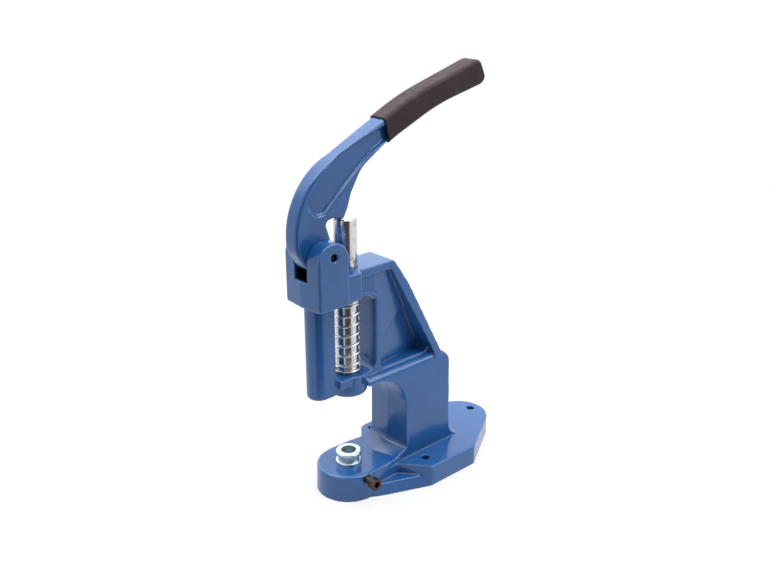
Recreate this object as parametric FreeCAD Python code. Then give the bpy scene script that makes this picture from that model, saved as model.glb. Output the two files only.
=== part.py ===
import FreeCAD, Part
import math
import os

# Hand lever press for eyelets: a cast C-frame, a lever on a pin, a sprung ram and a die holder.
# Millimetres. The origin is on the base's bottom face, under the ram's axis.
# +Z is up, -Y is the nose with the die holder, +X is the side of the clamp screw.

# Fits and cuts
running_clearance = 0.05    # radial, round a shaft that slides or turns
side_clearance = 0.3        # between moving faces that only pass each other
overrun = 1.0               # how far a cutting shape stands past the face it cuts

# Base plate
flange_height = 18.8
nose_height = 23.0
shelf_height = 9.8
nose_radius = 26.6
nose_foot_radius = 27.3
neck_half_width = 26.0
neck_waist_y = 22.0
neck_waist_radius = 8.0
bar_end_half_width = 23.6
bar_end_y = 39.0
bar_rear_y = 60.0
nose_edge_radius = 1.5
near_flank_x = 49.3
far_flank_x = -43.5
near_inner_corner_y = 31.5
far_inner_corner_y = 36.3
near_lug_corner_y = 50.2
far_lug_corner_y = 51.3
flank_end_y = 101.8
base_rear_y = 159.5
base_rear_half_width = 14.4
base_rear_radius = 25.0
inner_corner_radius = 5.0
lug_corner_radius = 3.0
far_lug_radius = 8.5
flank_end_radius = 8.0
shelf_foot_x = 33.6
shelf_start_x = 30.2
shelf_start_y = 12.0
shelf_end_setback = 6.3
shelf_end_fall = 5.3
shelf_corner_radius = 20.0

# Bench screw holes
bench_hole_radius = 3.5
side_hole_x = 34.0
side_hole_y = 56.6
rear_hole_y = 149.7

# Column, with the arch under the arm
column_front_y = 43.9
column_rear_y = 98.0
column_foot_half_width = 23.6
column_top_half_width = 21.8
column_draft_fall = 2.0
shoulder_radius = 9.0
shoulder_rear_radius = 13.0
shoulder_front_y = 5.0
arch_z = 97.8
shoulder_rise = 7.0         # the column's shoulder, above the arch's crown
shoulder_z = arch_z + shoulder_rise
arch_radius = 29.5
front_foot_y = 26.3
front_foot_side_y = 33.0
front_foot_rise = 4.7       # a low ramp runs up to the column's front
front_foot_radius = 4.0
rear_foot_y = 113.0
rear_foot_radius = 14.0
foot_sink = 5.0             # how deep the column's outline reaches into the base
foot_blend_sink = 0.4       # how far the rear foot's rounding runs out below the surface it meets

# Arm with its rear rib, window and side pockets
arm_half_width = 14.5
arm_top_z = 195.9
arm_rear_top_y = 38.5
arm_rear_knee_y = 53.0
arm_rear_knee_z = 173.3
arm_rear_foot_y = 87.0
arm_top_corner_radius = 3.5
arm_knee_radius = 90.0
rib_foot_half_width = 21.5
rib_top_depth = 3.2
rib_foot_depth = 8.2
window_rear_y = 18.5
window_corner_radius = 7.0
window_rim = 5.2
pocket_top_rim = 6.8
pocket_floor_z = 106.3
pocket_front_y = 2.0
pocket_front_floor_x = 12.6
pocket_rear_floor_x = 5.5
pocket_rear_floor_y = 68.0
pocket_step_depth = 2.6
pocket_corner_radius = 4.0
crease_top_y = 50.4
crease_top_z = 149.1
crease_foot_y = 23.0
crease_foot_z = 125.3

# Head with the two ears
head_half_width = 20.7
head_rear_half_width = 18.6
head_front_y = -44.35
head_draft_fall = 1.8
head_rear_y = 1.4
head_bottom_z = 173.3
head_edge_radius = 2.0
ear_rear_y = -13.4
ear_rise = 29.6             # the ears' tops, above the arm's top
ear_top_z = arm_top_z + ear_rise
ear_radius = 14.65
slot_half_width = 7.3
slot_sink = 1.3
slot_floor_z = arm_top_z - slot_sink
slot_rear_y = -8.0

# Lower guide lug and front pillar
lug_radius = 16.0
lug_top_z = 107.5
lug_bottom_z = 89.8
lug_edge_radius = 3.0
pillar_y = -29.3
pillar_radius = 9.9
pillar_bottom_z = 93.3
pillar_edge_radius = 3.5
pillar_rear_y = -19.5
lug_web_bottom_z = 94.6

# Ram
ram_radius = 9.15
ram_rise = 40.0             # the ram's top, above the arm's top
ram_top_z = arm_top_z + ram_rise
ram_bottom_z = 91.8
ram_chamfer = 0.7
die_thread_radius = 4.0
die_thread_depth = 18.0

# Spring and its collar
spring_wire_radius = 0.8
spring_bore_clearance = 0.35
spring_turns = 9.0
spring_start_angle = 64.0
spring_end_pitch = 2.15
spring_end_turns = 1.0
spring_blend_turns = 0.5
spring_end_gap = 0.1
spring_samples = 72
biarcs_per_turn = 4
collar_radius = 11.2
collar_thickness = 2.0
ring_radius = 10.6
ring_thickness = 1.2
ring_groove_depth = 0.7
ring_gap_half_angle = 22.0

# Lever. The shares are of the handle's reach and rise, counted from the pin's axis.
pin_y = -27.5
pin_rise = 18.3             # the pin's axis, above the arm's top
pin_z = arm_top_z + pin_rise
pin_radius = 3.1
pin_recess = 2.0
handle_reach = 167.8
handle_rise = 128.3
hub_half_width = 7.0
handle_half_width = 8.0
handle_width_share = 0.85
hub_face_radius = 23.3      # outside this the lever stays clear of the ears
hub_boss_radius = 12.0
lever_edge_radius = 2.5
side_face_share = 0.5       # a face whose normal lies nearer to X than this is a flat side
hub_bottom_drop = 12.5
hub_rear_reach = 13.2
hub_front_reach = 4.0
toe_reach = 14.9
toe_drop = 9.2
toe_radius = 2.5
hub_corner_radius = 12.0
hub_rear_drop = 4.9
lever_front_reach = 24.4
lever_front_knee_rise = 6.1
lever_front_knee_radius = 18.0
lever_shoulder_rise = 52.0
lever_shoulder_radius = 60.0
handle_back_share = (0.534, 0.823)
handle_back_radius = 250.0
handle_under_shares = [(0.7, 0.76), (0.402, 0.595), (0.235, 0.457), (0.173, 0.32)]
handle_under_radii = [200.0, 150.0, 25.0, 12.0]
tip_depth = 18.6
tip_slant = 4.5
tip_top_radius = 9.0
tip_bottom_radius = 7.0
heel_reach = 19.5           # from the pin's axis back to the middle of the heel's nose
heel_nose_radius = 3.0
heel_back_reach = 25.8
heel_back_rise = 30.6
heel_back_radius = 4.0
heel_root_reach = 12.5
heel_root_rise = 25.7
heel_root_radius = 10.0
notch_reach = 4.0
notch_rise = 22.9
notch_radius = 3.0
lever_web_half_width = 4.0
pocket_back_shares = [(0.443, 0.7), (0.222, 0.613), (0.101, 0.548), (0.005, 0.455), (-0.066, 0.342)]
pocket_foot_shares = [(-0.068, 0.302), (-0.031, 0.235), (0.016, 0.239)]
pocket_under_shares = [(0.138, 0.384), (0.22, 0.474), (0.304, 0.556), (0.443, 0.636)]
pocket_bend_radius = 25.0
pocket_foot_radius = 4.5
pocket_flare = 2.6          # how much wider all round the pocket gets on its way out

# Grip sleeve, shrunk on the handle
sleeve_wall = 1.3
sleeve_start_shares = [(0.346, 0.797), (0.405, 0.521)]
sleeve_end_margin = 4.6     # bare tip at the top; at the foot the sleeve covers it
sleeve_edge_radius = 3.6

# Die holder on the nose
holder_shank_radius = 8.0
holder_shank_bottom_z = 7.3
holder_bore_radius = 6.3
holder_bore_depth = 12.0
holder_foot_radius = 10.9
holder_foot_thickness = 2.6
holder_top_radius = 10.7
holder_top_thickness = 3.8
holder_height = 10.9
holder_waist_radius = 8.9
holder_edge_radius = 1.1

# Clamp screw for the die holder, an M6 socket-head cap screw
screw_y = -2.6
screw_z = 18.5
screw_radius = 3.0
screw_head_radius = 5.0
screw_head_length = 6.0
screw_head_x = 32.5
screw_socket_across = 5.0
screw_socket_depth = 3.0
screw_point_gap = 0.3


def vector(x, y, z):
    return FreeCAD.Vector(x, y, z)


def unit(start, end):
    length = math.dist(start[:2], end[:2])
    return ((end[0] - start[0]) / length, (end[1] - start[1]) / length)


def corner_turn(corners, index):
    before, here = corners[index - 1], corners[index]
    after = corners[(index + 1) % len(corners)]
    angle_in = math.atan2(here[1] - before[1], here[0] - before[0])
    angle_out = math.atan2(after[1] - here[1], after[0] - here[0])
    return abs(math.remainder(angle_out - angle_in, math.tau))


def rounded_spans(corners):
    # Start, middle and end of each corner's arc. A rounding never takes more than its edges hold.
    count = len(corners)
    turns = [corner_turn(corners, i) for i in range(count)]
    reaches = [corners[i][2] * math.tan(turns[i] / 2) for i in range(count)]
    fits = []
    for i in range(count):
        wanted = reaches[i] + reaches[(i + 1) % count]
        length = math.dist(corners[i][:2], corners[(i + 1) % count][:2])
        fits.append(min(1, length / wanted) if wanted > 0 else 1)
    spans = []
    for i in range(count):
        here = corners[i]
        reach = reaches[i] * min(fits[i - 1], fits[i])
        into = unit(corners[i - 1], here)
        out = unit(here, corners[(i + 1) % count])
        start = (here[0] - into[0] * reach, here[1] - into[1] * reach)
        end = (here[0] + out[0] * reach, here[1] + out[1] * reach)
        if reach > 0:
            chord = ((start[0] + end[0]) / 2, (start[1] + end[1]) / 2)
            half_chord = math.dist(start, end) / 2
            bulge = half_chord * math.tan(turns[i] / 4)
            away = unit(chord, here)
            middle = (chord[0] + away[0] * bulge, chord[1] + away[1] * bulge)
        else:
            middle = None
        spans.append((start, middle, end))
    return spans


def rounded_wire(corners, place):
    # Closed wire through corners (a, b, radius), set into space by place(a, b).
    spans = rounded_spans(corners)
    edges = []
    for i, (start, middle, end) in enumerate(spans):
        if middle:
            edges.append(Part.Arc(place(*start), place(*middle), place(*end)).toShape())
        following = spans[(i + 1) % len(spans)][0]
        if not place(*end).isEqual(place(*following), Part.Precision.approximation()):
            edges.append(Part.makeLine(place(*end), place(*following)))
    return Part.Wire(edges)


def plan_block(corners, low, high):
    wire = rounded_wire(corners, lambda x, y: vector(x, y, low))
    return Part.Face(wire).extrude(vector(0, 0, high - low))


def side_block(corners, low, high):
    wire = rounded_wire(corners, lambda y, z: vector(low, y, z))
    return Part.Face(wire).extrude(vector(high - low, 0, 0))


def front_block(corners, low, high):
    wire = rounded_wire(corners, lambda x, z: vector(x, low, z))
    return Part.Face(wire).extrude(vector(0, high - low, 0))


def plan_loft(low_corners, low, high_corners, high):
    low_wire = rounded_wire(low_corners, lambda x, y: vector(x, y, low))
    high_wire = rounded_wire(high_corners, lambda x, y: vector(x, y, high))
    return Part.makeLoft([low_wire, high_wire], True, True)


def side_loft(near_corners, near, far_corners, far):
    near_wire = rounded_wire(near_corners, lambda y, z: vector(near, y, z))
    far_wire = rounded_wire(far_corners, lambda y, z: vector(far, y, z))
    return Part.makeLoft([near_wire, far_wire], True, True)


def box(x_range, y_range, z_range):
    corner = vector(x_range[0], y_range[0], z_range[0])
    return Part.makeBox(x_range[1] - x_range[0], y_range[1] - y_range[0], z_range[1] - z_range[0], corner)


def rod(radius, low, high, x=0, y=0):
    return Part.makeCylinder(radius, high - low, vector(x, y, low))


def cross_rod(radius, low, high, y, z):
    return Part.makeCylinder(radius, high - low, vector(low, y, z), vector(1, 0, 0))


def turned(profile):
    # Solid turned about the ram's axis from corners (radius, height, rounding).
    wire = rounded_wire(profile, lambda r, z: vector(r, 0, z))
    return Part.Face(wire).revolve(vector(0, 0, 0), vector(0, 0, 1), 360)


def both_sides(shape):
    return shape.fuse(shape.mirror(vector(0, 0, 0), vector(1, 0, 0)))


def finished(shape):
    solid = shape.removeSplitter()
    return solid.Solids[0] if len(solid.Solids) == 1 else solid


def mirrored(corners):
    return [(-x, y, radius) for x, y, radius in reversed(corners)]


def base_skirt(near_x, corner_y):
    # Lower wall that runs from the nose out to one side lug, and stands off the neck as a shelf.
    foot = [(nose_foot_radius, 0, 0),
            (shelf_foot_x, shelf_start_y, shelf_corner_radius),
            (near_x, corner_y, 0),
            (0, corner_y, 0),
            (0, 0, 0)]
    top = [(nose_radius, 0, 0),
           (shelf_start_x, shelf_start_y, shelf_corner_radius),
           (near_x - shelf_end_setback, corner_y - shelf_end_fall, 0),
           (0, corner_y, 0),
           (0, 0, 0)]
    return plan_loft(foot, 0, top, shelf_height)


def base_flange():
    corners = [(near_flank_x, flank_end_y, flank_end_radius),
               (base_rear_half_width, base_rear_y, base_rear_radius),
               (-base_rear_half_width, base_rear_y, base_rear_radius),
               (far_flank_x, flank_end_y, flank_end_radius),
               (far_flank_x, far_lug_corner_y, far_lug_radius),
               (-neck_half_width, far_inner_corner_y, inner_corner_radius),
               (-neck_half_width, 0, 0),
               (neck_half_width, 0, 0),
               (neck_half_width, near_inner_corner_y, inner_corner_radius),
               (near_flank_x, near_lug_corner_y, lug_corner_radius)]
    return plan_block(corners, 0, flange_height)


def neck_bar():
    near = [(nose_radius, 0, 0),
            (neck_half_width, neck_waist_y, neck_waist_radius),
            (bar_end_half_width, bar_end_y, neck_waist_radius),
            (bar_end_half_width, bar_rear_y, 0)]
    return plan_block(near + mirrored(near), 0, nose_height)


def nose():
    profile = [(0, 0, 0),
               (nose_foot_radius, 0, 0),
               (nose_radius, nose_height, nose_edge_radius),
               (0, nose_height, 0)]
    return turned(profile)


def column_outline(front_y, rear_y, foot_y):
    rear_blend_z = flange_height - foot_blend_sink
    return [(foot_y, nose_height - foot_sink, 0),
            (foot_y, nose_height, 0),
            (front_y, nose_height + front_foot_rise, front_foot_radius),
            (front_y, arch_z, arch_radius),
            (shoulder_front_y, arch_z, 0),
            (shoulder_front_y, shoulder_z, 0),
            (rear_y, shoulder_z, shoulder_rear_radius),
            (rear_y, rear_blend_z, rear_foot_radius),
            (rear_foot_y, rear_blend_z, 0),
            (rear_foot_y, rear_blend_z - foot_sink, 0)]


def column():
    ridge = column_outline(column_front_y, column_rear_y, front_foot_y)
    side = column_outline(column_front_y + column_draft_fall, column_rear_y - column_draft_fall,
                          front_foot_side_y)
    width = column_foot_half_width + overrun
    half = side_loft(ridge, 0, side, width)
    waist = [(column_foot_half_width, 0, 0),
             (column_foot_half_width, flange_height, 0),
             (column_top_half_width, shoulder_z, shoulder_radius)]
    profile = front_block(waist + mirrored(waist), 0, base_rear_y)
    return both_sides(half).common(profile)


def arm_outline():
    return [(-window_rear_y, arm_top_z, 0),
            (arm_rear_top_y, arm_top_z, arm_top_corner_radius),
            (arm_rear_knee_y, arm_rear_knee_z, arm_knee_radius),
            (arm_rear_foot_y, shoulder_z, 0),
            (arm_rear_foot_y, arch_z, 0),
            (0, arch_z, 0),
            (0, lug_top_z - window_corner_radius, 0),
            (-window_rear_y, lug_top_z - window_corner_radius, 0)]


def pocket_outline():
    return [(pocket_front_y, arm_top_z - pocket_top_rim, pocket_corner_radius),
            (arm_rear_top_y - rib_top_depth, arm_top_z - pocket_top_rim, pocket_corner_radius),
            (arm_rear_foot_y - rib_foot_depth, pocket_floor_z, pocket_corner_radius),
            (window_rear_y + window_rim, pocket_floor_z, pocket_corner_radius),
            (window_rear_y + window_rim, head_bottom_z, window_corner_radius + window_rim),
            (pocket_front_y, head_bottom_z + window_rim, pocket_corner_radius)]


def pocket_space(step):
    # Room outside the pocket's sloping floor, on the +X side, sunk by the given step.
    corners = [(pocket_front_floor_x - step, -window_rear_y, 0),
               (pocket_front_floor_x - step, window_rear_y, 0),
               (pocket_rear_floor_x - step, pocket_rear_floor_y, 0),
               (pocket_rear_floor_x - step, base_rear_y, 0),
               (rib_foot_half_width + overrun, base_rear_y, 0),
               (rib_foot_half_width + overrun, -window_rear_y, 0)]
    return plan_block(corners, arch_z, arm_top_z)


def arm_pockets():
    outline = side_block(pocket_outline(), 0, rib_foot_half_width + overrun)
    below_crease = side_block([(crease_top_y, crease_top_z, 0),
                               (base_rear_y, crease_top_z, 0),
                               (base_rear_y, arch_z, 0),
                               (0, arch_z, 0),
                               (crease_foot_y, crease_foot_z, 0)],
                              0, rib_foot_half_width + overrun)
    upper = outline.common(pocket_space(0))
    lower = outline.common(pocket_space(pocket_step_depth)).common(below_crease)
    return both_sides(upper.fuse(lower))


def arm_rib():
    band = [(arm_rear_top_y - rib_top_depth, arm_top_z, 0),
            (arm_rear_top_y, arm_top_z, arm_top_corner_radius),
            (arm_rear_knee_y, arm_rear_knee_z, arm_knee_radius),
            (arm_rear_foot_y, shoulder_z, 0),
            (arm_rear_foot_y, arch_z, 0),
            (arm_rear_foot_y - rib_foot_depth, arch_z, 0),
            (arm_rear_foot_y - rib_foot_depth, pocket_floor_z, 0),
            (arm_rear_top_y - rib_top_depth, arm_top_z - pocket_top_rim, 0)]
    widths = [(rib_foot_half_width, arch_z, 0), (arm_half_width, arm_top_z, 0)]
    slab = side_block(band, -rib_foot_half_width - overrun, rib_foot_half_width + overrun)
    return slab.common(front_block(widths + mirrored(widths), 0, base_rear_y))


def window():
    corners = [(-window_rear_y, head_bottom_z, 0),
               (window_rear_y, head_bottom_z, window_corner_radius),
               (window_rear_y, lug_top_z, window_corner_radius),
               (-window_rear_y, lug_top_z, 0)]
    return side_block(corners, -rib_foot_half_width, rib_foot_half_width)


def arm():
    plate = side_block(arm_outline(), -arm_half_width, arm_half_width)
    return plate.cut(window()).fuse(arm_rib()).cut(arm_pockets())


def head_plan():
    near = [(0, head_front_y, 0),
            (head_half_width, head_front_y + head_draft_fall, head_edge_radius),
            (head_half_width, ear_rear_y, 0)]
    return near + mirrored(near[1:])


def ear_outline(front_y):
    return [(ear_rear_y, head_bottom_z, 0),
            (ear_rear_y, ear_top_z, ear_radius),
            (front_y, ear_top_z, ear_radius),
            (front_y, head_bottom_z, 0)]


def head():
    half = side_loft(ear_outline(head_front_y), 0,
                     ear_outline(head_front_y + head_draft_fall), head_half_width)
    front = both_sides(half).common(plan_block(head_plan(), head_bottom_z, ear_top_z))
    rear = box((-head_rear_half_width, head_rear_half_width), (ear_rear_y - overrun, head_rear_y),
               (head_bottom_z, arm_top_z))
    slot = box((-slot_half_width, slot_half_width), (head_front_y - overrun, slot_rear_y),
               (slot_floor_z, ear_top_z + overrun))
    pin_hole = cross_rod(pin_radius + running_clearance, -head_half_width - overrun,
                         head_half_width + overrun, pin_y, pin_z)
    return front.fuse(rear).cut([slot, pin_hole])


def flat_sided_web(low, high, edge_radius, rear_y):
    # Web as wide as the pillar, from the pillar's middle back to the given line.
    corners = [(pillar_radius, low, edge_radius),
               (pillar_radius, high, 0),
               (-pillar_radius, high, 0),
               (-pillar_radius, low, edge_radius)]
    return front_block(corners, pillar_y, rear_y)


def guide_lug():
    lug = turned([(0, lug_bottom_z, 0),
                  (lug_radius, lug_bottom_z, lug_edge_radius),
                  (lug_radius, lug_top_z, 0),
                  (0, lug_top_z, 0)])
    pillar = turned([(0, pillar_bottom_z, 0),
                     (pillar_radius, pillar_bottom_z, pillar_edge_radius),
                     (pillar_radius, head_bottom_z + overrun, 0),
                     (0, head_bottom_z + overrun, 0)])
    pillar.translate(vector(0, pillar_y, 0))
    pillar_back = flat_sided_web(pillar_bottom_z, head_bottom_z + overrun, pillar_edge_radius, pillar_rear_y)
    web = flat_sided_web(lug_web_bottom_z, lug_top_z, lug_edge_radius, 0)
    return lug.fuse([pillar, pillar_back, web])


def bench_holes():
    places = [(side_hole_x, side_hole_y), (-side_hole_x, side_hole_y), (0, rear_hole_y)]
    return [rod(bench_hole_radius, -overrun, flange_height + overrun, x, y) for x, y in places]


def frame_casting():
    body = nose().fuse([neck_bar(), base_flange(), column(), arm(), head(), guide_lug()])
    body = body.fuse([base_skirt(near_flank_x, near_lug_corner_y),
                      base_skirt(-far_flank_x, far_lug_corner_y).mirror(vector(0, 0, 0), vector(1, 0, 0))])
    ram_way = rod(ram_radius + running_clearance, lug_bottom_z - overrun, arm_top_z + overrun)
    holder_bore = rod(holder_shank_radius + running_clearance, holder_shank_bottom_z - side_clearance,
                      nose_height + overrun)
    screw_hole = cross_rod(screw_radius + running_clearance, 0, screw_head_x, screw_y, screw_z)
    return finished(body.cut(bench_holes() + [ram_way, holder_bore, screw_hole]))


def from_pin(reach, rise, radius):
    return (pin_y + reach, pin_z + rise, radius)


def by_share(share, radius):
    return from_pin(share[0] * handle_reach, share[1] * handle_rise, radius)


def tangent_corner(before, centre, radius, after):
    # Corner whose rounding is an arc about the centre, which lies to the right of the way round.
    lines = []
    for point, side in ((before, 1), (after, -1)):
        bearing = math.atan2(centre[1] - point[1], centre[0] - point[0])
        swing = math.asin(radius / math.dist(point[:2], centre[:2]))
        lines.append((math.cos(bearing + side * swing), math.sin(bearing + side * swing)))
    (ax, ay), (bx, by) = lines
    across = (after[0] - before[0]) * by - (after[1] - before[1]) * bx
    along = across / (ax * by - ay * bx)
    return (before[0] + ax * along, before[1] + ay * along, radius)


def lever_outline():
    under = [by_share(share, radius) for share, radius in zip(handle_under_shares, handle_under_radii)]
    heel_centre = (pin_y + heel_reach, ram_top_z + side_clearance + heel_nose_radius)
    heel_back = from_pin(heel_back_reach, heel_back_rise, heel_back_radius)
    root = from_pin(heel_root_reach, heel_root_rise, heel_root_radius)
    return [from_pin(hub_rear_reach, -hub_bottom_drop, hub_corner_radius),
            from_pin(-hub_front_reach, -hub_bottom_drop, hub_corner_radius),
            from_pin(-toe_reach, -toe_drop, toe_radius),
            from_pin(-lever_front_reach, lever_front_knee_rise, lever_front_knee_radius),
            from_pin(-lever_front_reach, lever_shoulder_rise, lever_shoulder_radius),
            by_share(handle_back_share, handle_back_radius),
            from_pin(handle_reach, handle_rise, tip_top_radius),
            from_pin(handle_reach + tip_slant, handle_rise - tip_depth, tip_bottom_radius),
            *under,
            heel_back,
            tangent_corner(heel_back, heel_centre, heel_nose_radius, root),
            root,
            from_pin(notch_reach, notch_rise, notch_radius),
            from_pin(hub_rear_reach, -hub_rear_drop, hub_corner_radius)]


def lever_half_width(rise):
    # The cast taper: hub width where the lever comes clear of the ears, full width at the grip.
    taper = (handle_half_width - hub_half_width) / (handle_width_share * handle_rise - hub_face_radius)
    return hub_half_width + taper * (rise - hub_face_radius)


def lever_widths(wall):
    # The lever's cross-section seen along Y, thickened by a wall all round.
    low, high = -handle_rise, 2 * handle_rise
    near = [(lever_half_width(low) + wall, pin_z + low, 0), (lever_half_width(high) + wall, pin_z + high, 0)]
    return front_block(near + mirrored(near), pin_y - handle_reach, pin_y + 2 * handle_reach)


def edges_round_sides(shape):
    # The edges where the two flat sides meet the faces that follow the outline.
    chosen = []
    for edge in shape.Edges:
        middle = edge.valueAt((edge.FirstParameter + edge.LastParameter) / 2)
        faces = [face for face in shape.Faces if any(edge.isSame(other) for other in face.Edges)]
        across = [abs(face.normalAt(*face.Surface.parameter(middle)).x) for face in faces]
        if max(across) > side_face_share > min(across):
            chosen.append(edge)
    return chosen


def lever_blank():
    width = 2 * handle_half_width
    blank = side_block(lever_outline(), -width, width).common(lever_widths(0))
    return blank.makeFillet(lever_edge_radius, edges_round_sides(blank))


def widened(corners, margin):
    # The same outline, taken counter-clockwise, with every side moved outwards by the margin.
    moved = []
    for i, here in enumerate(corners):
        into = unit(corners[i - 1], here)
        out = unit(here, corners[(i + 1) % len(corners)])
        scale = margin / (1 + into[0] * out[0] + into[1] * out[1])
        swell = margin if into[0] * out[1] > into[1] * out[0] else -margin
        moved.append((here[0] + (into[1] + out[1]) * scale,
                      here[1] - (into[0] + out[0]) * scale,
                      max(here[2] + swell, 0)))
    return moved


def lever_pockets():
    corners = [by_share(share, pocket_bend_radius) for share in pocket_back_shares]
    corners += [by_share(share, pocket_foot_radius) for share in pocket_foot_shares]
    corners += [by_share(share, pocket_bend_radius) for share in pocket_under_shares]
    return both_sides(side_loft(corners, lever_web_half_width,
                                widened(corners, pocket_flare), handle_half_width + overrun))


def hand_lever():
    boss = cross_rod(hub_boss_radius, -hub_half_width, hub_half_width, pin_y, pin_z)
    pin_bore = cross_rod(pin_radius + running_clearance, -head_half_width, head_half_width, pin_y, pin_z)
    return finished(lever_blank().cut(lever_pockets()).fuse(boss).cut(pin_bore))


def beyond(start, end):
    # Corner as far past the end as the start lies before it.
    return (2 * end[0] - start[0], 2 * end[1] - start[1], 0)


def grip_sleeve():
    width = 2 * handle_half_width
    outline = rounded_wire(lever_outline(), lambda y, z: vector(-width, y, z))
    outside = Part.Face(outline).makeOffset2D(sleeve_wall).extrude(vector(2 * width, 0, 0))
    start_top, start_foot = [by_share(share, 0) for share in sleeve_start_shares]
    end_top = from_pin(handle_reach - sleeve_end_margin, handle_rise, 0)
    end_foot = from_pin(handle_reach + tip_slant, handle_rise - tip_depth, 0)
    corners = [start_top, beyond(end_foot, end_top), beyond(end_top, end_foot), start_foot]
    stretch = side_block(corners, -width, width)
    blank = outside.common(lever_widths(sleeve_wall)).common(stretch)
    rims = [edge for edge in edges_round_sides(blank) if edge.BoundBox.YLength > edge.BoundBox.ZLength]
    return finished(blank.makeFillet(sleeve_edge_radius, rims).cut(lever_blank()))


def pivot_pin():
    half_length = head_half_width - pin_recess
    return cross_rod(pin_radius, -half_length, half_length, pin_y, pin_z)


def ring_bottom():
    return head_bottom_z - side_clearance - ring_thickness


def ram():
    groove_low = ring_bottom()
    groove_high = groove_low + ring_thickness + running_clearance
    groove_radius = ram_radius - ring_groove_depth
    profile = [(0, ram_bottom_z + die_thread_depth, 0),
               (die_thread_radius, ram_bottom_z + die_thread_depth, 0),
               (die_thread_radius, ram_bottom_z, 0),
               (ram_radius - ram_chamfer, ram_bottom_z, 0),
               (ram_radius, ram_bottom_z + ram_chamfer, 0),
               (ram_radius, groove_low, 0),
               (groove_radius, groove_low, 0),
               (groove_radius, groove_high, 0),
               (ram_radius, groove_high, 0),
               (ram_radius, ram_top_z - ram_chamfer, 0),
               (ram_radius - ram_chamfer, ram_top_z, 0),
               (0, ram_top_z, 0)]
    return turned(profile)


def spring_collar():
    high = ring_bottom()
    low = high - collar_thickness
    return rod(collar_radius, low, high).cut(rod(ram_radius + running_clearance, low, high))


def collar_ring():
    low = ring_bottom()
    high = low + ring_thickness
    ring = rod(ring_radius, low, high).cut(rod(ram_radius - ring_groove_depth + running_clearance, low, high))
    half_gap = math.radians(ring_gap_half_angle)
    reach = ring_radius * 2
    gap = [(0, 0, 0),
           (reach * math.sin(half_gap), reach * math.cos(half_gap), 0),
           (-reach * math.sin(half_gap), reach * math.cos(half_gap), 0)]
    return finished(ring.cut(plan_block(gap, low, high)))


def spring_height(turn):
    # Height of the wire's middle above the lower end, with a close coil at each end.
    rise = spring_span()
    blend = spring_blend_turns
    middle_turns = spring_turns - 2 * (spring_end_turns + blend)
    pitch = (rise - (2 * spring_end_turns + blend) * spring_end_pitch) / (middle_turns + blend)
    past = min(turn, spring_turns - turn)
    height = min(past, spring_end_turns) * spring_end_pitch
    blended = min(max(past - spring_end_turns, 0), blend)
    height += blended * (spring_end_pitch + (pitch - spring_end_pitch) * blended / blend / 2)
    height += max(past - spring_end_turns - blend, 0) * pitch
    return height if turn == past else rise - height


def spring_span():
    low = lug_top_z + spring_end_gap + spring_wire_radius
    high = ring_bottom() - collar_thickness - spring_end_gap - spring_wire_radius
    return high - low


def spring_point(turn):
    coil_radius = ram_radius + spring_bore_clearance + spring_wire_radius
    low = lug_top_z + spring_end_gap + spring_wire_radius
    angle = math.tau * turn + math.radians(spring_start_angle)
    return vector(coil_radius * math.cos(angle), coil_radius * math.sin(angle), low + spring_height(turn))


def spring_direction(turn):
    step = 1 / spring_samples
    ahead = spring_point(min(turn + step, spring_turns))
    behind = spring_point(max(turn - step, 0))
    return (ahead - behind).normalize()


def tangent_arc(start, apex, end):
    chord_middle = (start + end) / 2
    half_chord = (end - start).Length / 2
    leg = (apex - start).Length
    half_turn = math.acos(half_chord / leg)
    bulge = half_chord * math.tan(half_turn / 2)
    middle = chord_middle + (apex - chord_middle).normalize() * bulge
    return Part.Arc(start, middle, end).toShape()


def biarc(start, start_way, end, end_way):
    # Two arcs that leave and arrive along the given ways and meet without a kink.
    gap = end - start
    ways = start_way + end_way
    a = 2 * (1 - start_way.dot(end_way))
    b = 2 * gap.dot(ways)
    leg = (math.sqrt(b * b + 4 * a * gap.dot(gap)) - b) / (2 * a)
    first_apex = start + start_way * leg
    second_apex = end - end_way * leg
    join = (first_apex + second_apex) / 2
    return [tangent_arc(start, first_apex, join), tangent_arc(join, second_apex, end)]


def return_spring():
    count = round(spring_turns * biarcs_per_turn)
    turns = [spring_turns * i / count for i in range(count + 1)]
    points = [spring_point(turn) for turn in turns]
    ways = [spring_direction(turn) for turn in turns]
    straight = 2 * spring_wire_radius
    first = points[0] - ways[0] * straight
    last = points[-1] + ways[-1] * straight
    edges = [Part.makeLine(first, points[0])]
    for i in range(count):
        edges += biarc(points[i], ways[i], points[i + 1], ways[i + 1])
    edges.append(Part.makeLine(points[-1], last))
    section = Part.Wire(Part.makeCircle(spring_wire_radius, first, ways[0]))
    shell = Part.BRepOffsetAPI.MakePipeShell(Part.Wire(edges))
    shell.add(section)
    shell.build()
    shell.makeSolid()
    return shell.shape()


def spring_gap():
    # Least gap between the wire and itself, over pairs of points at least half a turn apart.
    count = round(spring_turns * spring_samples)
    points = [spring_point(spring_turns * i / count) for i in range(count + 1)]
    half_turn = spring_samples // 2
    least = min((points[j] - points[i]).Length for i in range(count) for j in range(i + half_turn, count + 1))
    return least - 2 * spring_wire_radius


def die_holder():
    foot_top = nose_height + holder_foot_thickness
    top = nose_height + holder_height
    rim_low = top - holder_top_thickness
    profile = [(0, holder_shank_bottom_z, 0),
               (holder_shank_radius, holder_shank_bottom_z, 0),
               (holder_shank_radius, nose_height, 0),
               (holder_foot_radius, nose_height, 0),
               (holder_foot_radius, foot_top, holder_edge_radius),
               (holder_waist_radius, foot_top, 0),
               (holder_waist_radius, rim_low, 0),
               (holder_top_radius, rim_low, holder_edge_radius),
               (holder_top_radius, top, holder_edge_radius),
               (holder_bore_radius, top, 0),
               (holder_bore_radius, top - holder_bore_depth, 0),
               (0, top - holder_bore_depth, 0)]
    return turned(profile)


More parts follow.
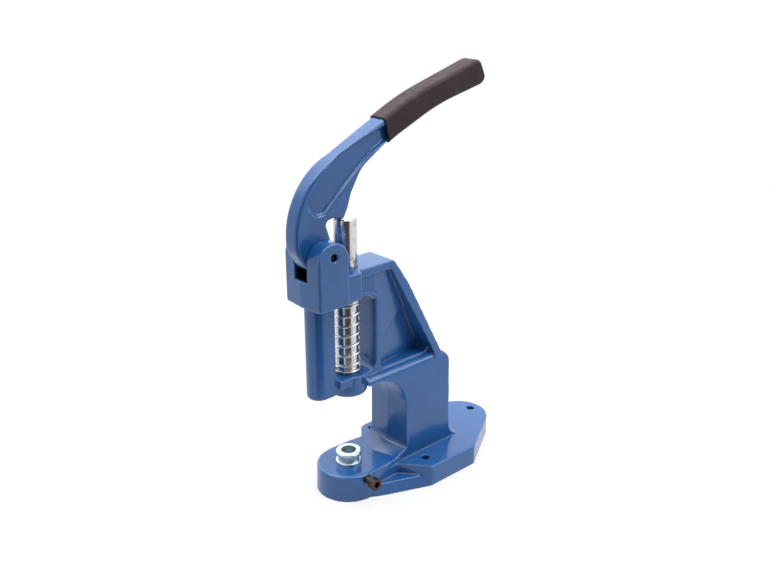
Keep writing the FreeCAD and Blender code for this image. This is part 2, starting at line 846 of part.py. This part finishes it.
def die_clamp_screw():
    point_x = holder_shank_radius + screw_point_gap
    shank = cross_rod(screw_radius, point_x, screw_head_x, screw_y, screw_z)
    head_end_x = screw_head_x + screw_head_length
    head_shape = cross_rod(screw_head_radius, screw_head_x, head_end_x, screw_y, screw_z)
    corner_radius = screw_socket_across / math.sqrt(3)
    corners = [(screw_y + corner_radius * math.cos(math.radians(60 * i)),
                screw_z + corner_radius * math.sin(math.radians(60 * i)), 0) for i in range(6)]
    socket = side_block(corners, head_end_x - screw_socket_depth, head_end_x + overrun)
    return finished(shank.fuse(head_shape).cut(socket))


makers = [frame_casting, hand_lever, grip_sleeve, pivot_pin, ram, return_spring, spring_collar,
          collar_ring, die_holder, die_clamp_screw]

os.makedirs("parts", exist_ok=True)
for maker in makers:
    shape = maker()
    shape.exportStep("parts/" + maker.__name__ + ".step")
    print(maker.__name__, len(shape.Solids), "solid,", round(shape.Volume), "mm3, valid", shape.isValid())
print("least gap between the spring's coils", round(spring_gap(), 2), "mm")
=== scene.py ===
import math
from functools import reduce

import bmesh
import bpy
import numpy as np
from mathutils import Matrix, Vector
from mathutils.bvhtree import BVHTree

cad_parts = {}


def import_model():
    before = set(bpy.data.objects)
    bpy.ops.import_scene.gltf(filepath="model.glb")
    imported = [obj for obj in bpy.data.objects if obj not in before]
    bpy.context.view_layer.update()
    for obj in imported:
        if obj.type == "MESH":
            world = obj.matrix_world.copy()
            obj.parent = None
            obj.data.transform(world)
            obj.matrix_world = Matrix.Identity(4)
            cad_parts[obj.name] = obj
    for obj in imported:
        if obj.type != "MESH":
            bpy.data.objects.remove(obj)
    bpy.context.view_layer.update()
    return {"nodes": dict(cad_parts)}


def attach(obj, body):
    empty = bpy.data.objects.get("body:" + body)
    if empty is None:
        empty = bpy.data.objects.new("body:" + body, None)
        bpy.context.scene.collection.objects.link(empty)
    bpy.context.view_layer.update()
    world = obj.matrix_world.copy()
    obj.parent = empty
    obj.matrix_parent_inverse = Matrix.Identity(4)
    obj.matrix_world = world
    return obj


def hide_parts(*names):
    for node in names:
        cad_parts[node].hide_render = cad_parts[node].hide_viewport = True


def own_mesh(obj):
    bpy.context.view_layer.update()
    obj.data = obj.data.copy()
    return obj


# Hand lever press for eyelets. Metres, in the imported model's own frame:
# +Z up, -Y the nose with the die holder, +X the side of the clamp screw.

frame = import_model()
scene = bpy.context.scene
mm = 0.001


def feed(tree, socket, value):
    # value is a number, a vector, a colour or another node's output
    if isinstance(value, bpy.types.NodeSocket):
        tree.links.new(value, socket)
    elif socket.type == "RGBA":
        socket.default_value = (*value, 1.0)
    else:
        socket.default_value = value


def addNode(tree, kind, inputs=None, operation=None):
    node = tree.nodes.new("ShaderNode" + kind)
    if operation:
        node.operation = operation
    for socket, value in (inputs or {}).items():
        feed(tree, node.inputs[socket], value)
    return node


def rangeOf(tree, value, low, high, toLow=0.0, toHigh=1.0):
    remap = addNode(tree, "MapRange", {"Value": value, "From Min": low, "From Max": high,
                                       "To Min": toLow, "To Max": toHigh})
    return remap.outputs["Result"]


def noiseOf(tree, place, scale, detail=3.0, roughness=0.5, stretch=(1, 1, 1), cut=None, to=(0.0, 1.0)):
    # Scales count per metre, so a scale of 1000 has lumps about 1 mm across
    mapped = addNode(tree, "Mapping", {"Vector": place, "Scale": stretch})
    noise = addNode(tree, "TexNoise", {"Vector": mapped.outputs["Vector"], "Scale": scale,
                                       "Detail": detail, "Roughness": roughness})
    return rangeOf(tree, noise.outputs["Fac"], *cut, *to) if cut else noise.outputs["Fac"]


def mathOf(tree, operation, *values):
    step = addNode(tree, "Math", dict(enumerate(values)), operation)
    return step.outputs[0]


def allOf(tree, *masks):
    return reduce(lambda one, two: mathOf(tree, "MULTIPLY", one, two), masks)


def anyOf(tree, *masks):
    return reduce(lambda one, two: mathOf(tree, "MAXIMUM", one, two), masks)


def mixOf(tree, factor, first, second):
    mix = addNode(tree, "Mix", {"Factor": factor})
    mix.data_type = "RGBA"
    colours = [socket for socket in mix.inputs if socket.type == "RGBA"]
    feed(tree, colours[0], first)
    feed(tree, colours[1], second)
    return [socket for socket in mix.outputs if socket.type == "RGBA"][0]


def bumpOf(tree, layers):
    # layers: (height, distance in metres), laid one over the other
    normal = None
    for height, distance in layers:
        bump = addNode(tree, "Bump", {"Strength": 1.0, "Distance": distance, "Height": height})
        if normal:
            feed(tree, bump.inputs["Normal"], normal)
        normal = bump.outputs["Normal"]
    return normal


def newMaterial(name):
    material = bpy.data.materials.new(name)
    material.use_nodes = True
    place = addNode(material.node_tree, "TexCoord").outputs["Object"]
    return material, material.node_tree, place


def finished(material, inputs):
    tree = material.node_tree
    for socket, value in inputs.items():
        feed(tree, tree.nodes["Principled BSDF"].inputs[socket], value)
    return material


paint = {
    "face": (0.0175, 0.106, 0.325),     # deep blue enamel
    "deep": (0.014, 0.092, 0.293),
    "creaseShade": (0.006, 0.050, 0.190),     # painted shade: darker blue in hollows and creases
    "edgeHighlight": (0.085, 0.215, 0.510),      # painted highlight: lighter blue along rounded edges
    "bare": (0.150, 0.150, 0.155),
    "slotShade": (0.006, 0.006, 0.008),     # painted shade: near black inside the slot between the ears
    "cloud": {"scale": 22, "detail": 4, "cut": (0.35, 0.65)},
    # edgeTurn where hollows and edges start and where they are full, and how strong the painted shade in
    # hollows and the painted highlight on edges then are
    "hollow": (0.56, 0.85, 0.0, 0.8),
    "ridge": (0.47, 0.30, 0.0, 0.75),
    "chip": {"scale": 420, "detail": 2, "cut": (0.66, 0.70)},
    "chipTurn": (0.26, 0.14),           # only on the sharpest edges
    "smear": {"scale": 55, "detail": 5, "roughness": 0.6, "cut": (0.3, 0.7), "to": (0.12, 0.22)},
    "ior": 1.55,
    "wave": {"scale": 80, "detail": 2},
    "waveDepth": 0.20 * mm,
    "sand": {"scale": 850, "roughness": 0.55},
    "sandDepth": 0.018 * mm,
    # where the painted shade in the slot starts and where it is full
    "slotSide": (7.8 * mm, 7.4 * mm),
    "slotRear": (-8.5 * mm, -9.5 * mm),
    "slotFront": (-42.0 * mm, -41.0 * mm),
    "slotFloor": (192.5 * mm, 193.0 * mm),
}


def bluePaint(name, slotted):
    material, tree, place = newMaterial(name)
    colour = mixOf(tree, noiseOf(tree, place, **paint["cloud"]), paint["face"], paint["deep"])
    edge = addNode(tree, "Attribute")
    edge.attribute_name = "edgeTurn"
    turn = edge.outputs["Fac"]
    # painted shade in hollows and creases, then painted highlight along rounded edges
    colour = mixOf(tree, rangeOf(tree, turn, *paint["hollow"]), colour, paint["creaseShade"])
    colour = mixOf(tree, rangeOf(tree, turn, *paint["ridge"]), colour, paint["edgeHighlight"])
    chip = allOf(tree, noiseOf(tree, place, **paint["chip"]), rangeOf(tree, turn, *paint["chipTurn"]))
    colour = mixOf(tree, chip, colour, paint["bare"])
    if slotted:
        apart = addNode(tree, "SeparateXYZ", {0: place}).outputs
        inside = allOf(tree, rangeOf(tree, mathOf(tree, "ABSOLUTE", apart[0]), *paint["slotSide"]),
                       rangeOf(tree, apart[1], *paint["slotRear"]),
                       rangeOf(tree, apart[1], *paint["slotFront"]),
                       rangeOf(tree, apart[2], *paint["slotFloor"]))
        # painted shade: the inner walls of the slot turn near black
        colour = mixOf(tree, inside, colour, paint["slotShade"])
    return finished(material, {
        "Base Color": colour,
        "Roughness": noiseOf(tree, place, **paint["smear"]),
        "IOR": paint["ior"],
        "Normal": bumpOf(tree, [(noiseOf(tree, place, **paint["wave"]), paint["waveDepth"]),
                                (noiseOf(tree, place, **paint["sand"]), paint["sandDepth"])]),
    })


metals = {
    # depth is that of the turning lines, which stretch draws out round the axis
    "ramChrome": {"clean": (0.67, 0.67, 0.69), "dull": (0.48, 0.44, 0.42), "roughness": (0.12, 0.24),
                  "stretch": (1, 1, 40), "depth": 0.008 * mm, "stained": True},
    "springChrome": {"clean": (0.72, 0.76, 0.75), "dull": (0.56, 0.59, 0.57), "roughness": (0.24, 0.38),
                     "stretch": (1, 1, 40), "depth": 0.004 * mm},
    "holderChrome": {"clean": (0.57, 0.66, 0.69), "dull": (0.42, 0.50, 0.54), "roughness": (0.28, 0.44),
                     "stretch": (1, 1, 40), "depth": 0.012 * mm},
    "zincPlate": {"clean": (0.66, 0.67, 0.68), "dull": (0.50, 0.50, 0.50), "roughness": (0.25, 0.40),
                  "stretch": (1, 1, 40), "depth": 0.010 * mm},
    "pinSteel": {"clean": (0.016, 0.013, 0.014), "dull": (0.008, 0.007, 0.008), "roughness": (0.45, 0.60),
                 "stretch": (40, 1, 1), "depth": 0.010 * mm},
    "blackOxide": {"clean": (0.082, 0.054, 0.054), "dull": (0.016, 0.010, 0.013), "roughness": (0.25, 0.45),
                   "stretch": (40, 1, 1), "depth": 0.030 * mm},
}
wear = {
    "patch": {"scale": 160, "detail": 5, "roughness": 0.6, "cut": (0.52, 0.72)},
    "wipe": {"scale": 240, "detail": 4, "cut": (0.35, 0.7)},
    "lines": {"scale": 60, "detail": 2},
    "grain": {"scale": 1500, "detail": 2},
    "grainShare": 0.25,                 # of the lines' depth
}
stain = {
    "colour": (0.24, 0.19, 0.16),       # old oil where the ram leaves its guide
    "below": (196.0 * mm, 201.0 * mm, 0.3, 1.0),
    "above": (213.0 * mm, 201.0 * mm),
    "smudge": {"scale": 330, "detail": 4, "roughness": 0.6, "stretch": (1, 1, 0.5), "cut": (0.46, 0.62)},
}


def metal(name):
    look = metals[name]
    material, tree, place = newMaterial(name)
    colour = mixOf(tree, noiseOf(tree, place, **wear["patch"]), look["clean"], look["dull"])
    if look.get("stained"):
        height = addNode(tree, "SeparateXYZ", {0: place}).outputs[2]
        band = allOf(tree, rangeOf(tree, height, *stain["below"]), rangeOf(tree, height, *stain["above"]),
                     noiseOf(tree, place, **stain["smudge"]))
        colour = mixOf(tree, band, colour, stain["colour"])
    lines = noiseOf(tree, place, stretch=look["stretch"], **wear["lines"])
    grain = noiseOf(tree, place, **wear["grain"])
    return finished(material, {
        "Base Color": colour,
        "Roughness": noiseOf(tree, place, to=look["roughness"], **wear["wipe"]),
        "Metallic": 1.0,
        "Normal": bumpOf(tree, [(lines, look["depth"]), (grain, wear["grainShare"] * look["depth"])]),
    })


rubber = {
    "side": (0.027, 0.011, 0.017),
    "dusty": (0.036, 0.020, 0.025),
    "dust": {"scale": 70, "detail": 5, "roughness": 0.65, "cut": (0.45, 0.75)},
    "rub": {"scale": 180, "detail": 4, "cut": (0.3, 0.7), "to": (0.50, 0.66)},
    "ior": 1.36,
    "pull": {"scale": 130},
    "pullDepth": 0.25 * mm,
    "grain": {"scale": 1400, "roughness": 0.6},
    "grainDepth": 0.04 * mm,
}


def sleeveRubber():
    material, tree, place = newMaterial("sleeveRubber")
    return finished(material, {
        "Base Color": mixOf(tree, noiseOf(tree, place, **rubber["dust"]), rubber["side"], rubber["dusty"]),
        "Roughness": noiseOf(tree, place, **rubber["rub"]),
        "IOR": rubber["ior"],
        "Normal": bumpOf(tree, [(noiseOf(tree, place, **rubber["pull"]), rubber["pullDepth"]),
                                (noiseOf(tree, place, **rubber["grain"]), rubber["grainDepth"])]),
    })


materials = {
    "framePaint": bluePaint("framePaint", True),
    "leverPaint": bluePaint("leverPaint", False),
    "sleeveRubber": sleeveRubber(),
}
for name in metals:
    materials[name] = metal(name)
print("materials made:", len(materials))


def evaluated(piece):
    graph = bpy.context.evaluated_depsgraph_get()
    return bpy.data.meshes.new_from_object(piece.evaluated_get(graph))


def newPiece(name, mesh, material=None):
    piece = bpy.data.objects.new(name, mesh)
    scene.collection.objects.link(piece)
    if material:
        mesh.materials.clear()
        mesh.materials.append(material)
    return piece


def shadeSmooth(mesh):
    mesh.polygons.foreach_set("use_smooth", [True] * len(mesh.polygons))
    mesh.update()


def vectorsOf(mesh, kind):
    values = np.zeros(len(mesh.vertices) * 3, np.float32)
    mesh.vertices.foreach_get(kind, values)
    return values.reshape(-1, 3)


def evened(values, mesh, rounds):
    # Each point takes the mean of itself and its neighbours
    ends = np.zeros(len(mesh.edges) * 2, np.int32)
    mesh.edges.foreach_get("vertices", ends)
    ends = ends.reshape(-1, 2)
    count = np.ones(len(values))
    np.add.at(count, ends[:, 0], 1)
    np.add.at(count, ends[:, 1], 1)
    for step in range(rounds):
        total = values.copy()
        np.add.at(total, ends[:, 0], values[ends[:, 1]])
        np.add.at(total, ends[:, 1], values[ends[:, 0]])
        values = total / count
    return values


softening = {
    "weld": 0.002 * mm,
    "factor": 0.5,
    "crispRise": 1.5 * mm,      # the height over which the foot's crisp rim turns soft
    "turnSpan": 0.9 * mm,       # how far a point moves from edgeTurn 0 to edgeTurn 1
    "turnRounds": 3,
}


def softened(name, look):
    # The CAD solid's own mesh, with its edges and corners rounded off as sand casting and paint leave them
    mesh = frame["nodes"][look["node"]].data.copy()
    work = bmesh.new()
    work.from_mesh(mesh)
    bmesh.ops.remove_doubles(work, verts=work.verts, dist=softening["weld"])
    solid = BVHTree.FromBMesh(work)
    work.to_mesh(mesh)
    work.free()
    raw = newPiece("raw", mesh)
    remesh = raw.modifiers.new("skin", "REMESH")
    remesh.mode = "VOXEL"
    remesh.voxel_size = look["voxel"]
    sharp = evaluated(raw)
    bpy.data.objects.remove(raw)
    material = materials[look["material"]]
    piece = newPiece(name, sharp, material)
    smooth = piece.modifiers.new("soften", "SMOOTH")
    smooth.factor = softening["factor"]
    smooth.iterations = look["passes"]
    soft = evaluated(piece)
    piece.modifiers.clear()
    points = vectorsOf(soft, "co").astype(float)
    # flat stretches go back onto the solid's own faces, and the foot keeps its crisp rim
    nearest = np.array([solid.find_nearest(Vector(point))[0] for point in points])
    away = np.linalg.norm(points - nearest, axis=1)
    share = np.clip((away - look["flat"]) / (2 * look["flat"]), 0, 1)
    share = share * share * (3 - 2 * share)
    share *= np.clip((nearest[:, 2] - look["crispBelow"]) / softening["crispRise"], 0, 1)
    # how far each point moved along its normal tells edges (from 0.5 down) from hollows (up)
    moved = ((points - nearest) * vectorsOf(soft, "normal")).sum(1) * share
    turn = evened(np.clip(0.5 + moved / softening["turnSpan"], 0, 1), soft, softening["turnRounds"])
    # hollows stay tighter than edges
    share[moved > 0] *= look["hollow"]
    points = nearest + (points - nearest) * share[:, None]
    soft.vertices.foreach_set("co", points.astype(np.float32).ravel())
    piece.data = soft
    soft.materials.clear()
    soft.materials.append(material)
    attribute = soft.attributes.new("edgeTurn", "FLOAT", "POINT")
    attribute.data.foreach_set("value", turn.astype(np.float32))
    shadeSmooth(soft)
    return piece


castings = {
    "castFrame": {"node": "frame_casting", "body": "frame", "slot": "blue_paint", "material": "framePaint",
                  "voxel": 0.75 * mm, "passes": 9, "flat": 0.06 * mm, "crispBelow": 0.3 * mm, "hollow": 0.3},
    "castLever": {"node": "hand_lever", "body": "lever", "slot": "blue_paint", "material": "leverPaint",
                  "voxel": 0.60 * mm, "passes": 9, "flat": 0.05 * mm, "crispBelow": 0.0, "hollow": 0.5},
    "gripSleeve": {"node": "grip_sleeve", "body": "lever", "slot": "black_sleeve", "material": "sleeveRubber",
                   "voxel": 0.45 * mm, "passes": 4, "flat": 0.03 * mm, "crispBelow": 0.0, "hollow": 1.0},
}
for name, cast in castings.items():
    piece = softened(name, cast)
    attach(piece, cast["body"])
    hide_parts(cast["node"])
    print(name, "softened:", len(piece.data.polygons), "faces")


spring = {
    "wire": 0.8 * mm,
    "wireSides": 5,
    "radius": 10.3 * mm,
    "turns": 9.0,
    "startAngle": 64.0,
    "low": 108.4 * mm,          # middle of the wire at the lower and the upper end
    "high": 168.9 * mm,
    "endPitch": 2.15 * mm,
    "endTurns": 1.0,
    "blendTurns": 0.5,
    "samples": 64,
    "footing": 107.5 * mm,      # top face of the lug that it stands on
    "length": 62.3 * mm,
    "stroke": 23.87 * mm,
}


def springHeight(turn):
    rise = spring["high"] - spring["low"]
    blend = spring["blendTurns"]
    middle = spring["turns"] - 2 * (spring["endTurns"] + blend)
    pitch = (rise - (2 * spring["endTurns"] + blend) * spring["endPitch"]) / (middle + blend)
    past = min(turn, spring["turns"] - turn)
    height = min(past, spring["endTurns"]) * spring["endPitch"]
    blended = min(max(past - spring["endTurns"], 0), blend)
    height += blended * (spring["endPitch"] + (pitch - spring["endPitch"]) * blended / blend / 2)
    height += max(past - spring["endTurns"] - blend, 0) * pitch
    return height if turn == past else rise - height


def returnSpring():
    count = round(spring["turns"] * spring["samples"])
    points = []
    for i in range(count + 1):
        turn = spring["turns"] * i / count
        angle = math.tau * turn + math.radians(spring["startAngle"])
        points.append((spring["radius"] * math.cos(angle), spring["radius"] * math.sin(angle),
                       spring["low"] + springHeight(turn)))
    curve = bpy.data.curves.new("springLine", "CURVE")
    curve.dimensions = "3D"
    line = curve.splines.new("POLY")
    line.points.add(len(points) - 1)
    for point, place in zip(line.points, points):
        point.co = (*place, 1.0)
    curve.bevel_depth = spring["wire"]
    curve.bevel_resolution = spring["wireSides"]
    curve.use_fill_caps = True
    holder = newPiece("springLine", curve)
    mesh = evaluated(holder)
    bpy.data.objects.remove(holder)
    piece = newPiece("springCoil", mesh, materials["springChrome"])
    shadeSmooth(mesh)
    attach(piece, "frame")
    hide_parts("return_spring")
    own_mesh(piece)


returnSpring()
print("spring wound")


kept = {
    "ram": "ramChrome",
    "die_holder": "holderChrome",
    "spring_collar": "zincPlate",
    "collar_ring": "blackOxide",
    "pivot_pin": "pinSteel",
    "die_clamp_screw": "blackOxide",
}
for node, finish in kept.items():
    mesh = frame["nodes"][node].data
    for index in range(len(mesh.materials)):
        mesh.materials[index] = materials[finish]
print("kept nodes dressed")


def directionOf(azimuth, elevation):
    # Degrees; the azimuth runs from -Y towards +X
    turn, lift = math.radians(azimuth), math.radians(elevation)
    return Vector((math.sin(turn) * math.cos(lift), -math.cos(turn) * math.cos(lift), math.sin(lift)))


studio = {
    "floorHalf": 12.0,
    "floorDrop": 0.05 * mm,
    "floorTone": (0.86, 0.86, 0.87),
    "floorRoughness": 0.7,
    "floorWhite": (1.0, 1.0, 1.0),
    # how much of the floor's own shading the white covers: distance near and far, share near and far
    "cover": (0.15, 0.75, 0.78, 1.0),
    # where the table ends and the dark room shows: azimuths, the blur of its sides, and distances
    "gapTurn": (30.0, 95.0),
    "gapEdge": 5.0,
    "gapReach": (0.20, 0.24),
    # dark parts of the tent: azimuth, elevation, cosine where it starts and where it is full
    "dark": (0.085, 0.070, 0.068),
    "darkParts": [(55.0, 5.0, 0.86, 0.93), (95.0, 52.0, 0.68, 0.80)],
    "light": (0.99, 1.0, 1.01),
    "level": 0.38,
}


def floor():
    half = studio["floorHalf"]
    corners = [(-half, -half, 0), (half, -half, 0), (half, half, 0), (-half, half, 0)]
    mesh = bpy.data.meshes.new("floor")
    mesh.from_pydata(corners, [], [(0, 1, 2, 3)])
    material, tree, place = newMaterial("floorWhite")
    finished(material, {"Base Color": studio["floorTone"], "Roughness": studio["floorRoughness"]})
    piece = newPiece("floor", mesh, material)
    piece.location.z = -studio["floorDrop"]
    apart = addNode(tree, "SeparateXYZ", {0: place}).outputs
    reach = addNode(tree, "VectorMath", {0: place}, "LENGTH").outputs["Value"]
    bearing = mathOf(tree, "ARCTAN2", apart[0], mathOf(tree, "MULTIPLY", apart[1], -1))
    first, last = [math.radians(turn) for turn in studio["gapTurn"]]
    edge = math.radians(studio["gapEdge"])
    rays = addNode(tree, "LightPath").outputs
    gap = allOf(tree, rangeOf(tree, bearing, first - edge, first + edge),
                rangeOf(tree, bearing, last + edge, last - edge),
                rangeOf(tree, reach, *studio["gapReach"]),
                mathOf(tree, "SUBTRACT", 1, rays["Is Camera Ray"]))
    glow = addNode(tree, "Emission", {"Color": mixOf(tree, gap, studio["floorWhite"], studio["dark"])})
    covered = allOf(tree, rays["Is Camera Ray"], rangeOf(tree, reach, *studio["cover"]))
    share = anyOf(tree, covered, gap, rays["Is Glossy Ray"], rays["Is Transmission Ray"])
    own = tree.nodes["Principled BSDF"].outputs[0]
    both = addNode(tree, "MixShader", {0: share, 1: own, 2: glow.outputs[0]})
    feed(tree, tree.nodes["Material Output"].inputs["Surface"], both.outputs[0])


def world():
    # A white tent with its open, dark side where the photographer stands
    sky = bpy.data.worlds.new("tent")
    scene.world = sky
    sky.use_nodes = True
    tree = sky.node_tree
    place = addNode(tree, "TexCoord").outputs["Generated"]
    parts = []
    for azimuth, elevation, start, full in studio["darkParts"]:
        facing = addNode(tree, "VectorMath", {0: place, 1: directionOf(azimuth, elevation)}, "DOT_PRODUCT")
        parts.append(rangeOf(tree, facing.outputs["Value"], start, full))
    rays = addNode(tree, "LightPath").outputs
    room = allOf(tree, anyOf(tree, *parts), mathOf(tree, "SUBTRACT", 1, rays["Is Camera Ray"]))
    seen = anyOf(tree, rays["Is Camera Ray"], rays["Is Glossy Ray"], rays["Is Transmission Ray"])
    background = tree.nodes["Background"].inputs
    feed(tree, background["Color"], mixOf(tree, room, studio["light"], studio["dark"]))
    feed(tree, background["Strength"], rangeOf(tree, seen, 0, 1, studio["level"], 1.0))


lamps = {
    # place, aimed at, width, height, watts, colour
    "topBox": ((-0.15, 0.05, 1.25), (0, 0.05, 0.15), 1.4, 1.4, 20.0, (0.99, 1.0, 1.0)),
    "leftBox": ((-1.55, -0.10, 0.85), (0, 0.05, 0.20), 1.6, 1.4, 7.0, (0.99, 0.99, 1.0)),
    "backBox": ((-1.15, 1.20, 0.85), (0, 0.05, 0.15), 1.6, 1.4, 4.5, (0.98, 0.98, 1.0)),
    "rightBox": ((0.85, 0.65, 1.30), (0, 0.05, 0.12), 1.1, 1.1, 15.0, (0.99, 1.0, 1.0)),
}


def light():
    for name, (place, aim, width, height, watts, colour) in lamps.items():
        data = bpy.data.lights.new(name, "AREA")
        data.shape = "RECTANGLE"
        data.size = width
        data.size_y = height
        data.energy = watts
        data.color = colour
        lamp = bpy.data.objects.new(name, data)
        lamp.visible_camera = False
        scene.collection.objects.link(lamp)
        lamp.location = place
        lamp.rotation_euler = (Vector(aim) - Vector(place)).to_track_quat("-Z", "Y").to_euler()


view = {
    "azimuth": 47.64,
    "elevation": 21.1,
    "place": (523.56 * mm, -435.72 * mm, 439.83 * mm),
    "focalPixels": 935.48,
    "widthPixels": 771,
    "sensorWidth": 36.0,
    "clipStart": 0.01,
}


def camera():
    data = bpy.data.cameras.new("camera")
    data.sensor_fit = "HORIZONTAL"
    data.sensor_width = view["sensorWidth"]
    data.lens = view["focalPixels"] / view["widthPixels"] * view["sensorWidth"]
    data.clip_start = view["clipStart"]
    eye = bpy.data.objects.new("camera", data)
    scene.collection.objects.link(eye)
    eye.location = view["place"]
    eye.rotation_mode = "QUATERNION"
    eye.rotation_quaternion = (-directionOf(view["azimuth"], view["elevation"])).to_track_quat("-Z", "Y")
    scene.camera = eye


floor()
world()
light()
camera()
scene.view_settings.view_transform = "Standard"
print("studio set")
